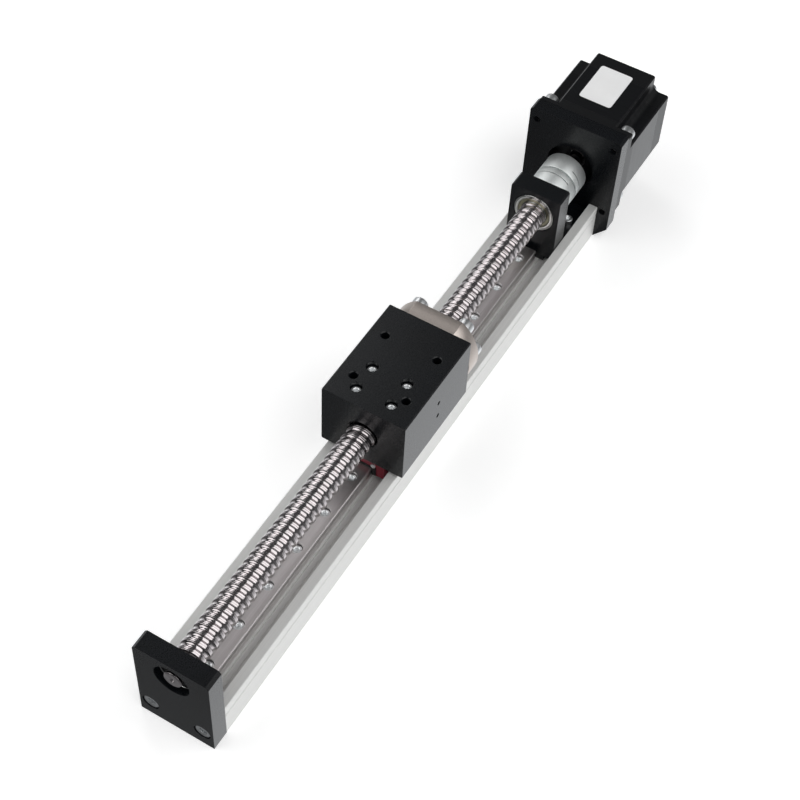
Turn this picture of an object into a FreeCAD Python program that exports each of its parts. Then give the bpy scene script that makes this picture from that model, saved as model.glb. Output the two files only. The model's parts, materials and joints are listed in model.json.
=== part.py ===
"""Ball screw linear module: a channel extrusion with one guide rail, a ball screw between two
bearings, a slider block bolted to a rail carriage and a ball nut, and a square stepper motor.

X runs across the module, Y along it from the idler end plate to the motor, and Z up.
The origin is the centre of the extrusion's underside. Millimetres throughout.
"""
import FreeCAD, Part
import math
import os

from FreeCAD import Vector

os.makedirs("parts", exist_ok=True)

# Base extrusion
profile_width = 41.0
profile_length = 372.0
wall_height = 23.0
wall_thickness = 5.2
floor_height = 11.0
seat_height = 12.0
seat_width = 14.4
side_groove_height = 16.3
side_groove_depth = 0.9
profile_edge = 0.3
port_radius = 4.2
port_x = 14.3
port_height = 10.3
port_thread_depth = 20.0
base_hole_radius = 2.1
base_hole_depth = 8.0
base_hole_spacing_x = 26.0
base_hole_inner_pitch = 100.0
base_hole_outer_pitch = 300.0

# Screw line
axis_height = 44.5
screw_radius = 7.5
screw_lead = 5.0
groove_depth = 1.1
groove_half_width = 1.75
groove_overcut = 0.3
groove_start = 2.25
shoulder_length = 1.0

# Idler end
end_plate_thickness = 10.0
end_plate_height = 57.0
end_plate_edge = 1.6
end_plate_lip_radius = 9.7
idler_journal_radius = 5.0
idler_shaft_recess = 0.4
idler_ring_radius = 11.0
idler_bearing_width = 6.0
snap_ring_radius = 6.2
snap_ring_thickness = 1.0
snap_ring_groove_depth = 0.4
snap_ring_opening = 3.0
centre_drill_radius = 1.6
centre_drill_depth = 1.4
centre_drill_tip = 0.2

# Bearings
ring_wall = 1.6
shield_thickness = 0.5
shield_recess = 0.3
shield_gap = 0.3

# Guide rail and carriage
rail_width = 12.0
rail_height = 8.0
rail_start = 6.0
rail_hole_first = 16.0
rail_hole_pitch = 25.0
rail_end_margin = 10.0
rail_edge = 0.5
rail_groove_radius = 1.8
rail_groove_height = 4.8
rail_groove_depth = 0.8
rail_counterbore_radius = 3.0
rail_counterbore_depth = 4.5
rail_bore_radius = 1.75
rail_screw_bite = 6.0
carriage_width = 27.0
carriage_block_length = 21.7
carriage_clearance_below = 3.0
carriage_total_height = 13.0
carriage_rail_gap = 0.3
carriage_hole_spacing_x = 20.0
carriage_hole_spacing_y = 15.0
carriage_hole_depth = 3.5
carriage_edge = 0.6
cap_length = 6.2
cap_inset = 0.4
seal_proud = 0.3
seal_depth = 0.9
seal_width = 17.0
seal_height = 6.2
cap_screw_radius = 0.9
cap_screw_head_radius = 1.3
cap_screw_head_height = 0.8
cap_screw_key = 1.2
cap_screw_spacing = 14.0
cap_screw_drop = 1.6

# Slider block
slider_width = 47.5
slider_length = 64.0
slider_top = 65.0
slider_start = 150.5
slider_edge = 0.5
slider_bore_radius = 8.0
slider_bore_edge = 0.8
top_hole_spacing = 30.0
top_hole_front = 15.4
top_hole_radius = 2.1
top_hole_depth = 10.0
top_hole_countersink = 0.5
slider_counterbore_radius = 3.2
slider_counterbore_depth = 5.8
side_hole_from_front = 33.5
side_hole_spacing = 10.0
side_hole_radius = 1.25
side_hole_depth = 5.0

# Ball nut
nut_body_radius = 14.0
nut_body_length = 35.0
nut_bore_radius = 7.8
flange_radius = 24.0
flange_thickness = 10.0
flange_half_flat = 20.0
flange_circle_radius = 19.0
flange_screw_turn = 45.0
flange_screw_reach = 11.0
wiper_radius = 10.0
wiper_thickness = 3.0
wiper_gap = 0.3
return_radius = 3.0
return_depth = 4.4
return_first = 8.0
return_pitch = 8.0
return_count = 3

# Fixed bearing block
block_from_back = 43.2
block_thickness = 11.2
block_half_width = 15.0
block_edge = 1.0
block_bore_edge = 0.6
block_relief_x = 9.6
block_relief_top = 15.0
fixed_ring_radius = 12.0
fixed_journal_radius = 6.0
fixed_bearing_width = 6.0
block_rear_bore_radius = 9.6
foot_length = 31.0
foot_top = 19.5
foot_screw_x = 10.0
foot_screw_from_back = 16.0
foot_screw_bite = 6.0
lock_nut_radius = 8.6
lock_nut_thickness = 4.0
lock_nut_slot = 2.0

# Shaft coupling
coupling_radius = 12.5
coupling_from_back = 29.8
coupling_length = 25.0
coupling_slit = 0.5
coupling_middle_groove = 0.8
coupling_middle_depth = 1.0
coupling_slit_offset = 4.4
coupling_slit_web = 8.7
front_clamp_turn = -150.0
rear_clamp_turn = 52.0
clamp_screw_from_end = 3.9
clamp_screw_offset = 8.0
clamp_screw_bite = 5.0
clamp_seat_wall = 1.5
coupling_journal_radius = 5.0
shaft_end_gap = 1.0

# Motor plate
motor_plate_thickness = 9.0
motor_plate_edge = 1.5
motor_plate_rise = 2.5
motor_plate_foot_height = 8.7
motor_plate_bore_radius = 14.0
pilot_recess_depth = 2.0

# Stepper motor
motor_size = 56.4
motor_bolt_edge = 4.63
motor_screw_shy = 3.0
motor_flange_thickness = 5.0
motor_length = 54.0
motor_rear_cap_length = 12.0
motor_notch = 10.0
motor_notch_radius = 4.6
motor_notch_edge = 0.8
motor_corner = 1.2
pilot_radius = 19.05
pilot_height = 1.6
rotor_bore_radius = 15.8
rotor_radius = 15.5
rotor_length = 28.0
rotor_groove_width = 1.5
rotor_groove_depth = 1.0
cap_wall = 3.0
motor_shaft_radius = 4.0
motor_shaft_reach = 24.0
motor_shaft_tail = 4.0
motor_ring_radius = 11.0
motor_bearing_width = 7.0
case_screw_edge = 11.4
grommet_radius = 4.0
grommet_length = 5.0
grommet_hole_radius = 2.0

# Socket head screws: head radius, head height, core radius and key size
m5 = dict(head_radius=4.25, head_height=5.0, core_radius=2.0, key=4.0)
m3 = dict(head_radius=2.75, head_height=3.0, core_radius=1.2, key=2.5)
key_share = 0.5

# Clearances
fit_gap = 0.05
thread_play = 0.1
bore_play = 0.6
head_play = 0.35
face_gap = 0.3

# Stations worked out from the sizes above
front = -profile_length / 2.0
back = profile_length / 2.0
rail_top = seat_height + rail_height
carriage_top = seat_height + carriage_total_height
slider_y0 = front + slider_start
slider_y1 = slider_y0 + slider_length
carriage_length = carriage_block_length + 2 * (cap_length + seal_proud)
carriage_y = slider_y0 + carriage_length / 2.0
block_y0 = back - block_from_back
block_y1 = block_y0 + block_thickness
thread_y0 = front + shoulder_length
thread_y1 = block_y0 - shoulder_length
coupling_y0 = back - coupling_from_back
coupling_y1 = coupling_y0 + coupling_length
coupling_y = (coupling_y0 + coupling_y1) / 2.0
motor_y0 = back + motor_plate_thickness
motor_y1 = motor_y0 + motor_length
motor_cap_y0 = motor_y1 - motor_rear_cap_length
motor_bolt_spacing = motor_size - 2 * motor_bolt_edge
case_screw_offset = motor_size / 2.0 - case_screw_edge
rail_hole_room = block_y0 - front - rail_hole_first - rail_end_margin
rail_hole_count = int(rail_hole_room // rail_hole_pitch) + 1


def box(x0, x1, y0, y1, z0, z1):
    return Part.makeBox(x1 - x0, y1 - y0, z1 - z0, Vector(x0, y0, z0))


def rod_x(radius, x0, x1, y, z):
    return Part.makeCylinder(radius, x1 - x0, Vector(x0, y, z), Vector(1, 0, 0))


def rod_y(radius, y0, y1, x=0.0, z=axis_height):
    return Part.makeCylinder(radius, y1 - y0, Vector(x, y0, z), Vector(0, 1, 0))


def rod_z(radius, z0, z1, x, y):
    return Part.makeCylinder(radius, z1 - z0, Vector(x, y, z0), Vector(0, 0, 1))


def ring_y(outer, inner, y0, y1):
    return rod_y(outer, y0, y1).cut(rod_y(inner, y0, y1))


def cone_y(radius0, radius1, y0, y1, x=0.0, z=axis_height):
    return Part.makeCone(radius0, radius1, y1 - y0, Vector(x, y0, z), Vector(0, 1, 0))


def turned(steps):
    """A solid turned about the screw axis from (y0, y1, radius) steps that follow each other."""
    body = None
    for y0, y1, radius in steps:
        step = rod_y(radius, y0, y1)
        body = step if body is None else body.fuse(step)
    return body.removeSplitter()


def extruded(points, y0, y1):
    """A closed outline of (x, z) points, drawn at y0 and extruded to y1."""
    corners = [Vector(x, y0, z) for x, z in points]
    wire = Part.makePolygon(corners + corners[:1])
    return Part.Face(wire).extrude(Vector(0, y1 - y0, 0))


def mirrored_outline(right_half):
    """The right half of an outline, from bottom to top, closed by its mirror image."""
    left_half = [(-x, z) for x, z in reversed(right_half) if x > 0]
    return right_half + left_half


def both_sides(shape):
    return [shape, shape.mirror(Vector(0, 0, 0), Vector(1, 0, 0))]


def group(shapes):
    return Part.makeCompound(shapes)


def fused(shapes):
    body = shapes[0]
    for shape in shapes[1:]:
        body = body.fuse(shape)
    return body.removeSplitter()


def socket_screw(size, reach, place, direction):
    """A socket head screw whose head seats at place and whose core runs reach along direction."""
    key_depth = size["head_height"] * key_share
    head = Part.makeCylinder(size["head_radius"], size["head_height"], Vector(0, 0, -size["head_height"]))
    core = Part.makeCylinder(size["core_radius"], reach)
    corner = size["key"] / math.sqrt(3.0)
    top = -size["head_height"]
    corners = [
        Vector(corner * math.cos(math.radians(60 * i)), corner * math.sin(math.radians(60 * i)), top)
        for i in range(6)
    ]
    key = Part.Face(Part.makePolygon(corners + corners[:1])).extrude(Vector(0, 0, key_depth))
    screw = head.fuse(core).cut(key)
    screw.Placement = FreeCAD.Placement(place, FreeCAD.Rotation(Vector(0, 0, 1), direction))
    return screw


def deep_groove_bearing(outer_radius, bore_radius, width, y0):
    """Outer ring, inner ring and the two shields that close the ball space between them."""
    outer_inside = outer_radius - ring_wall
    inner_outside = bore_radius + ring_wall
    outer_ring = ring_y(outer_radius, outer_inside, y0, y0 + width)
    inner_ring = ring_y(inner_outside, bore_radius + fit_gap, y0, y0 + width)
    shields = [
        ring_y(outer_inside - fit_gap, inner_outside + shield_gap, y, y + shield_thickness)
        for y in (y0 + shield_recess, y0 + width - shield_recess - shield_thickness)
    ]
    return outer_ring, inner_ring, shields


def profile_section():
    half = profile_width / 2.0
    inside = half - wall_thickness
    return mirrored_outline([
        (half - profile_edge, 0),
        (half, profile_edge),
        (half, side_groove_height - side_groove_depth),
        (half - side_groove_depth, side_groove_height),
        (half, side_groove_height + side_groove_depth),
        (half, wall_height - profile_edge),
        (half - profile_edge, wall_height),
        (inside, wall_height),
        (inside, floor_height),
        (seat_width / 2.0, floor_height),
        (seat_width / 2.0, seat_height),
    ])


def rail_hole_stations():
    return [front + rail_hole_first + rail_hole_pitch * i for i in range(rail_hole_count)]


def base_profile():
    """The channel extrusion, with its screw ports and the tapped holes cut into it."""
    ports = both_sides(rod_y(port_radius, front, back, port_x, port_height))
    body = fused([extruded(profile_section(), front, back)] + ports)
    holes = []
    thread_radius = m5["core_radius"] + thread_play
    holes += both_sides(rod_y(thread_radius, front, front + port_thread_depth, port_x, port_height))
    holes += both_sides(rod_y(thread_radius, back - port_thread_depth, back, port_x, port_height))
    rail_thread = m3["core_radius"] + thread_play
    for y in rail_hole_stations():
        holes.append(rod_z(rail_thread, rail_screw_end() - face_gap, seat_height, 0, y))
    for pitch in (base_hole_inner_pitch, base_hole_outer_pitch):
        for y in (-pitch / 2.0, pitch / 2.0):
            hole = rod_z(base_hole_radius, 0, base_hole_depth, base_hole_spacing_x / 2.0, y)
            holes += both_sides(hole)
    foot_thread = rod_z(m3["core_radius"] + thread_play, foot_screw_end() - face_gap,
                        port_height + port_radius, foot_screw_x, foot_screw_y())
    holes += both_sides(foot_thread)
    return body.cut(group(holes))


def rail_screw_end():
    return seat_height - rail_screw_bite


def foot_screw_end():
    return floor_height - foot_screw_bite


def foot_screw_y():
    return block_y1 + foot_screw_from_back


def end_plate():
    half = profile_width / 2.0
    y0 = front - end_plate_thickness
    outline = mirrored_outline([
        (half, 0),
        (half, end_plate_height - end_plate_edge),
        (half - end_plate_edge, end_plate_height),
    ])
    plate = extruded(outline, y0, front)
    cuts = [
        rod_y(idler_ring_radius + fit_gap, front - idler_bearing_width, front),
        rod_y(end_plate_lip_radius, y0, front),
    ]
    seat = y0 + m5["head_height"] + head_play
    cuts += both_sides(rod_y(m5["head_radius"] + head_play, y0, seat, port_x, port_height))
    cuts += both_sides(rod_y(m5["core_radius"] + bore_play, seat, front, port_x, port_height))
    return plate.cut(group(cuts))


def end_plate_screws():
    seat = front - end_plate_thickness + m5["head_height"] + head_play
    reach = front + port_thread_depth - face_gap - seat
    return group([
        socket_screw(m5, reach, Vector(x, seat, port_height), Vector(0, 1, 0)) for x in (-port_x, port_x)
    ])


def guide_rail():
    half = rail_width / 2.0
    y0 = front + rail_start
    y1 = front + rail_hole_first + rail_hole_pitch * (rail_hole_count - 1) + rail_end_margin
    outline = mirrored_outline([
        (half, seat_height),
        (half, rail_top - rail_edge),
        (half - rail_edge, rail_top),
    ])
    rail = extruded(outline, y0, y1)
    groove_x = half + rail_groove_radius - rail_groove_depth
    cuts = both_sides(rod_y(rail_groove_radius, y0, y1, groove_x, seat_height + rail_groove_height))
    for y in rail_hole_stations():
        cuts.append(rod_z(rail_bore_radius, seat_height, rail_top, 0, y))
        cuts.append(rod_z(rail_counterbore_radius, rail_top - rail_counterbore_depth, rail_top, 0, y))
    return rail.cut(group(cuts))


def rail_screws():
    seat = rail_top - rail_counterbore_depth
    reach = seat - rail_screw_end()
    return group([
        socket_screw(m3, reach, Vector(0, y, seat), Vector(0, 0, -1)) for y in rail_hole_stations()
    ])


def carriage_outline(half_width, low, high, edge):
    """An upside-down U that straddles the rail with the running gap all round."""
    inside = rail_width / 2.0 + carriage_rail_gap
    return mirrored_outline([
        (inside, rail_top + carriage_rail_gap),
        (inside, low),
        (half_width - edge, low),
        (half_width, low + edge),
        (half_width, high - edge),
        (half_width - edge, high),
    ])


def carriage_low():
    return seat_height + carriage_clearance_below


def guide_carriage():
    half = carriage_block_length / 2.0
    outline = carriage_outline(carriage_width / 2.0, carriage_low(), carriage_top, carriage_edge)
    body = extruded(outline, carriage_y - half, carriage_y + half)
    holes = [
        rod_z(m3["core_radius"] + thread_play, carriage_top - carriage_hole_depth, carriage_top, x, y)
        for x, y in slider_screw_places()
    ]
    return body.cut(group(holes))


def slider_screw_places():
    half_x = carriage_hole_spacing_x / 2.0
    half_y = carriage_hole_spacing_y / 2.0
    return [(x, carriage_y + y) for x in (-half_x, half_x) for y in (-half_y, half_y)]


def cap_screw_height():
    return carriage_top - cap_inset - cap_screw_drop


def carriage_end_caps():
    """The two return caps that turn the balls round at the ends of the carriage."""
    outline = carriage_outline(carriage_width / 2.0 - cap_inset, carriage_low() + cap_inset,
                               carriage_top, carriage_edge)
    caps = []
    for side in (-1, 1):
        y_in, y_out = cap_faces(side)
        cap = extruded(outline, min(y_in, y_out), max(y_in, y_out))
        cuts = both_sides(rod_y(cap_screw_radius + thread_play, min(y_in, y_out), max(y_in, y_out),
                                cap_screw_spacing / 2.0, cap_screw_height()))
        cuts.append(seal_between(y_out, y_out - side * seal_depth))
        caps.append(cap.cut(group(cuts)))
    return group(caps)


def cap_faces(side):
    """Where a return cap meets the steel block, and where its outer face is."""
    y_in = carriage_y + side * carriage_block_length / 2.0
    return y_in, y_in + side * cap_length


def seal_between(y0, y1):
    inside = rail_width / 2.0 + carriage_rail_gap
    low = carriage_low() + cap_inset
    outline = mirrored_outline([
        (inside, rail_top + carriage_rail_gap),
        (inside, low),
        (seal_width / 2.0, low),
        (seal_width / 2.0, low + seal_height),
    ])
    return extruded(outline, min(y0, y1), max(y0, y1))


def carriage_end_seals():
    """The scraper seal pressed into the recess in the outer face of each cap."""
    seals = []
    for side in (-1, 1):
        y_out = cap_faces(side)[1]
        seals.append(seal_between(y_out + side * seal_proud, y_out - side * seal_depth))
    return group(seals)


def carriage_cap_screws():
    small = dict(head_radius=cap_screw_head_radius, head_height=cap_screw_head_height,
                 core_radius=cap_screw_radius, key=cap_screw_key)
    screws = []
    for side in (-1, 1):
        y_face = cap_faces(side)[1]
        for x in (-cap_screw_spacing / 2.0, cap_screw_spacing / 2.0):
            screws.append(socket_screw(small, cap_length - face_gap, Vector(x, y_face, cap_screw_height()),
                                       Vector(0, -side, 0)))
    return group(screws)


def slider_block():
    """The machined block that joins the carriage to the ball nut and carries the load on top."""
    half = slider_width / 2.0
    outline = mirrored_outline([
        (half - slider_edge, carriage_top),
        (half, carriage_top + slider_edge),
        (half, slider_top - slider_edge),
        (half - slider_edge, slider_top),
    ])
    block = extruded(outline, slider_y0, slider_y1)
    pocket_depth = nut_body_length + face_gap
    cuts = [
        rod_y(slider_bore_radius, slider_y0, slider_y1),
        cone_y(slider_bore_radius + slider_bore_edge, slider_bore_radius, slider_y0,
               slider_y0 + slider_bore_edge),
        rod_y(nut_body_radius + fit_gap, slider_y1 - pocket_depth, slider_y1),
    ]
    for x, y in slider_screw_places():
        cuts.append(rod_z(slider_counterbore_radius, slider_top - slider_counterbore_depth,
                          slider_top, x, y))
        cuts.append(rod_z(m3["core_radius"] + thread_play, carriage_top, slider_top, x, y))
    for y in (slider_y0 + top_hole_front, slider_y0 + top_hole_front + top_hole_spacing):
        hole = rod_z(top_hole_radius, slider_top - top_hole_depth, slider_top, top_hole_spacing / 2.0, y)
        mouth = Part.makeCone(top_hole_radius, top_hole_radius + top_hole_countersink, top_hole_countersink,
                              Vector(top_hole_spacing / 2.0, y, slider_top - top_hole_countersink))
        cuts += both_sides(hole) + both_sides(mouth)
    for z in (axis_height - side_hole_spacing / 2.0, axis_height + side_hole_spacing / 2.0):
        cuts.append(rod_x(side_hole_radius, half - side_hole_depth, half,
                          slider_y0 + side_hole_from_front, z))
    for x, z in flange_screw_places():
        cuts.append(rod_y(m5["core_radius"] + thread_play, slider_y1 - flange_screw_reach - face_gap,
                          slider_y1, x, z))
    return block.cut(group(cuts))


def slider_screws():
    seat = slider_top - slider_counterbore_depth
    reach = seat - carriage_top + carriage_hole_depth - face_gap
    return group([
        socket_screw(m3, reach, Vector(x, y, seat), Vector(0, 0, -1)) for x, y in slider_screw_places()
    ])


def flange_screw_places():
    """Six places, level with the screw and at each side of the flats, as x and height."""
    one_side = (90.0, 90.0 - flange_screw_turn, 90.0 + flange_screw_turn)
    turns = [side * turn for side in (-1, 1) for turn in one_side]
    return [
        (flange_circle_radius * math.sin(math.radians(turn)),
         axis_height + flange_circle_radius * math.cos(math.radians(turn)))
        for turn in turns
    ]


def nut_y0():
    return slider_y1 - nut_body_length


def nut_y1():
    return slider_y1 + flange_thickness


def ball_nut():
    """Round body in the slider's pocket and a flange with two flats against the slider's back."""
    body = rod_y(nut_body_radius, nut_y0(), slider_y1)
    flange = rod_y(flange_radius, slider_y1, nut_y1())
    flats = box(-flange_radius, flange_radius, slider_y1, nut_y1(), axis_height - flange_half_flat,
                axis_height + flange_half_flat)
    nut = body.fuse(flange.common(flats)).removeSplitter()
    cuts = [
        rod_y(nut_bore_radius, nut_y0(), nut_y1()),
        rod_y(wiper_radius, nut_y0(), nut_y0() + wiper_thickness),
        rod_y(wiper_radius, nut_y1() - wiper_thickness, nut_y1()),
    ]
    cuts += [
        rod_y(m5["core_radius"] + bore_play, slider_y1, nut_y1(), x, z)
        for x, z in flange_screw_places()
    ]
    cuts += [return_pocket(i, return_radius + fit_gap, return_depth, 0.0) for i in range(return_count)]
    return nut.cut(group(cuts))


def return_pocket(index, radius, depth, inset):
    """A radial plug of the nut body, one third of a turn on from the last."""
    angle = 2 * math.pi * index / return_count + math.pi / 2.0
    out = Vector(math.cos(angle), 0, math.sin(angle))
    y = nut_y0() + return_first + return_pitch * index
    base = Vector(0, y, axis_height) + out * (nut_body_radius - depth)
    return Part.makeCylinder(radius, depth - inset, base, out)


def ball_returns():
    """The deflectors that lead each closed circuit of balls over the land of the screw."""
    return group([
        return_pocket(i, return_radius, return_depth - fit_gap, return_depth / 4.0)
        for i in range(return_count)
    ])


def nut_wipers():
    inner = screw_radius + wiper_gap
    outer = wiper_radius - fit_gap
    return group([
        ring_y(outer, inner, nut_y0(), nut_y0() + wiper_thickness),
        ring_y(outer, inner, nut_y1() - wiper_thickness, nut_y1()),
    ])


def nut_screws():
    reach = flange_thickness + flange_screw_reach
    return group([
        socket_screw(m5, reach, Vector(x, nut_y1(), z), Vector(0, -1, 0)) for x, z in flange_screw_places()
    ])


def groove_cutter(length):
    """One long V groove swept along the screw's helix, a turn longer than the thread at each end."""
    overshoot = 2 * screw_lead
    helix = Part.Wire(Part.makeLongHelix(screw_lead, length + overshoot, screw_radius))
    rim = screw_radius + groove_overcut
    rim_half_width = groove_half_width * (1 + groove_overcut / groove_depth)
    corners = [
        Vector(screw_radius - groove_depth, 0, 0),
        Vector(rim, 0, rim_half_width),
        Vector(rim, 0, -rim_half_width),
    ]
    sweep = Part.BRepOffsetAPI.MakePipeShell(helix)
    sweep.setBiNormalMode(Vector(0, 0, 1))
    sweep.add(Part.makePolygon(corners + corners[:1]))
    sweep.build()
    sweep.makeSolid()
    cutter = sweep.shape()
    cutter.translate(Vector(0, 0, groove_start - screw_lead))
    return cutter


def threaded_length():
    length = thread_y1 - thread_y0
    rod = Part.makeCylinder(screw_radius, length).cut(groove_cutter(length))
    rod.Placement = FreeCAD.Placement(
        Vector(0, thread_y0, axis_height), FreeCAD.Rotation(Vector(1, 0, 0), -90)
    )
    return rod


def ball_screw():
    """The right-hand screw with the turned journals of its idler end and its driven end."""
    shaft_end = front - end_plate_thickness + idler_shaft_recess
    snap_y = front - idler_bearing_width - snap_ring_thickness
    groove_radius = idler_journal_radius - snap_ring_groove_depth
    idler_end = turned([
        (shaft_end, snap_y, idler_journal_radius),
        (snap_y, snap_y + snap_ring_thickness, groove_radius),
        (snap_y + snap_ring_thickness, front, idler_journal_radius),
        (front, thread_y0, idler_journal_radius + ring_wall - face_gap),
    ])
    fixed_end = turned([
        (thread_y1, block_y0, fixed_journal_radius + ring_wall - face_gap),
        (block_y0, lock_nut_y1(), fixed_journal_radius),
        (lock_nut_y1(), coupling_y - shaft_end_gap, coupling_journal_radius),
    ])
    centre = cone_y(centre_drill_radius, centre_drill_tip, shaft_end, shaft_end + centre_drill_depth)
    return threaded_length().fuse([idler_end.cut(centre), fixed_end])


def snap_ring():
    y0 = front - idler_bearing_width - snap_ring_thickness
    inner = idler_journal_radius - snap_ring_groove_depth + fit_gap
    ring = ring_y(snap_ring_radius, inner, y0 + fit_gap, y0 + snap_ring_thickness)
    half = snap_ring_opening / 2.0
    opening = box(-half, half, y0, y0 + snap_ring_thickness, axis_height, axis_height + snap_ring_radius)
    return ring.cut(opening)


def lock_nut_y1():
    return block_y0 + fixed_bearing_width + lock_nut_thickness


def lock_nut():
    y0 = block_y0 + fixed_bearing_width
    nut = ring_y(lock_nut_radius, fixed_journal_radius + fit_gap, y0, lock_nut_y1())
    half = lock_nut_slot / 2.0
    edge = lock_nut_radius - lock_nut_slot / 2.0
    slots = []
    for turn in range(4):
        slot = box(-half, half, y0, lock_nut_y1(), axis_height + edge, axis_height + lock_nut_radius)
        slots.append(slot.rotate(Vector(0, 0, axis_height), Vector(0, 1, 0), 90 * turn))
    return nut.cut(group(slots))


def bearing_block():
    """Upright wall with the bearing bore and the bolted foot behind it, clear of the screw ports."""
    wall_top = axis_height + block_half_width
    underside = [
        (block_relief_x, seat_height),
        (block_relief_x, block_relief_top),
        (block_half_width, block_relief_top),
    ]
    wall_outline = mirrored_outline(underside + [
        (block_half_width, wall_top - block_edge),
        (block_half_width - block_edge, wall_top),
    ])
    foot_outline = mirrored_outline(underside + [(block_half_width, foot_top)])
    wall = extruded(wall_outline, block_y0, block_y1)
    foot = extruded(foot_outline, block_y1, block_y1 + foot_length)
    body = fused([wall, foot])
    cuts = [
        rod_y(fixed_ring_radius + fit_gap, block_y0, block_y0 + fixed_bearing_width),
        cone_y(fixed_ring_radius + block_bore_edge, fixed_ring_radius, block_y0,
               block_y0 + block_bore_edge),
        rod_y(block_rear_bore_radius, block_y0, block_y1),
    ]
    cuts += both_sides(rod_z(m3["core_radius"] + bore_play, seat_height, foot_top,
                             foot_screw_x, foot_screw_y()))
    return body.cut(group(cuts))


def bearing_block_screws():
    reach = foot_top - foot_screw_end()
    return group([
        socket_screw(m3, reach, Vector(x, foot_screw_y(), foot_top), Vector(0, 0, -1))
        for x in (-foot_screw_x, foot_screw_x)
    ])


def clamp_halves():
    """The front and rear halves, each with the turn of its clamp about the screw axis."""
    return ((-1, front_clamp_turn), (1, rear_clamp_turn))


def clamp_screw_y(side):
    return coupling_y + side * (coupling_length / 2.0 - clamp_screw_from_end)


def clamp_seat():
    return coupling_slit + m3["core_radius"] + clamp_seat_wall


def turned_clamp(shape, turn):
    return shape.rotate(Vector(0, 0, axis_height), Vector(0, 1, 0), turn)


def clamp_cuts(side):
    """A half's slit from its clamp side, the gap that closes and its screw hole, before the turn."""
    slit_y = coupling_y + side * coupling_slit_offset
    end_y = coupling_y + side * coupling_length / 2.0
    half = coupling_slit / 2.0
    slit = box(coupling_slit_web - coupling_radius, coupling_radius, slit_y - half, slit_y + half,
               axis_height - coupling_radius, axis_height + coupling_radius)
    gap = box(0, coupling_radius, min(slit_y, end_y), max(slit_y, end_y),
              axis_height - half, axis_height + half)
    seat = axis_height - side * clamp_seat()
    thread_end = axis_height + side * (clamp_screw_bite + thread_play)
    rim = axis_height - side * coupling_radius
    place = (clamp_screw_offset, clamp_screw_y(side))
    return [
        slit,
        gap,
        rod_z(m3["core_radius"] + thread_play, min(seat, thread_end), max(seat, thread_end), *place),
        rod_z(m3["head_radius"] + head_play, min(seat, rim), max(seat, rim), *place),
    ]


def coupling():
    """One aluminium bar with a groove round its middle and a screw clamp at each end."""
    body = rod_y(coupling_radius, coupling_y0, coupling_y1)
    half = coupling_middle_groove / 2.0
    cuts = [
        rod_y(coupling_journal_radius + fit_gap, coupling_y0, coupling_y),
        rod_y(motor_shaft_radius + fit_gap, coupling_y, coupling_y1),
        ring_y(coupling_radius, coupling_radius - coupling_middle_depth,
               coupling_y - half, coupling_y + half),
    ]
    for side, turn in clamp_halves():
        cuts += [turned_clamp(shape, turn) for shape in clamp_cuts(side)]
    return body.cut(group(cuts))


def coupling_screws():
    reach = clamp_seat() + clamp_screw_bite
    screws = []
    for side, turn in clamp_halves():
        seat = Vector(clamp_screw_offset, clamp_screw_y(side), axis_height - side * clamp_seat())
        screws.append(turned_clamp(socket_screw(m3, reach, seat, Vector(0, 0, side)), turn))
    return group(screws)


def motor_bolt_places():
    half = motor_bolt_spacing / 2.0
    return [(x, axis_height + z) for x in (-half, half) for z in (-half, half)]


def motor_plate():
    half = motor_size / 2.0
    top = axis_height + half + motor_plate_rise
    outline = mirrored_outline([
        (profile_width / 2.0, 0),
        (half, motor_plate_foot_height),
        (half, top - motor_plate_edge),
        (half - motor_plate_edge, top),
    ])
    plate = extruded(outline, back, motor_y0)
    seat = motor_y0 - m5["head_height"] - head_play
    cuts = [
        rod_y(motor_plate_bore_radius, back, motor_y0),
        rod_y(pilot_radius + fit_gap, motor_y0 - pilot_recess_depth, motor_y0),
    ]
    cuts += [rod_y(m5["core_radius"] + thread_play, back, motor_y0, x, z) for x, z in motor_bolt_places()]
    cuts += both_sides(rod_y(m5["core_radius"] + bore_play, back, seat, port_x, port_height))
    cuts += both_sides(rod_y(m5["head_radius"] + head_play, seat, motor_y0, port_x, port_height))
    return plate.cut(group(cuts))


def motor_plate_screws():
    seat = motor_y0 - m5["head_height"] - head_play
    reach = seat - back + port_thread_depth - face_gap
    return group([
        socket_screw(m5, reach, Vector(x, seat, port_height), Vector(0, -1, 0)) for x in (-port_x, port_x)
    ])


def motor_outline_solid(y0, y1):
    """The square motor section, with a stepped and rounded notch along each corner."""
    half = motor_size / 2.0
    body = box(-half, half, y0, y1, axis_height - half, axis_height + half)
    inner = half - motor_notch
    centre = half - motor_notch + motor_notch_radius
    cuts = []
    for turn in range(4):
        notch = box(centre, half, y0, y1, axis_height + inner, axis_height + half)
        side = box(inner, half, y0, y1, axis_height + centre, axis_height + half)
        round_corner = rod_y(motor_notch_radius, y0, y1, centre, axis_height + centre)
        edges = [
            notch_edge(inner, axis_height + half, y0, y1),
            notch_edge(half, axis_height + inner, y0, y1),
        ]
        cut = notch.fuse([side, round_corner] + edges)
        cuts.append(cut.rotate(Vector(0, 0, axis_height), Vector(0, 1, 0), 90 * turn))
    return body.cut(group(cuts))


def notch_edge(x, z, y0, y1):
    """The tool that breaks a corner at (x, z) by the notch's chamfer."""
    edge = motor_notch_edge
    return extruded([(x - edge, z), (x, z + edge), (x + edge, z), (x, z - edge)], y0, y1)


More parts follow.
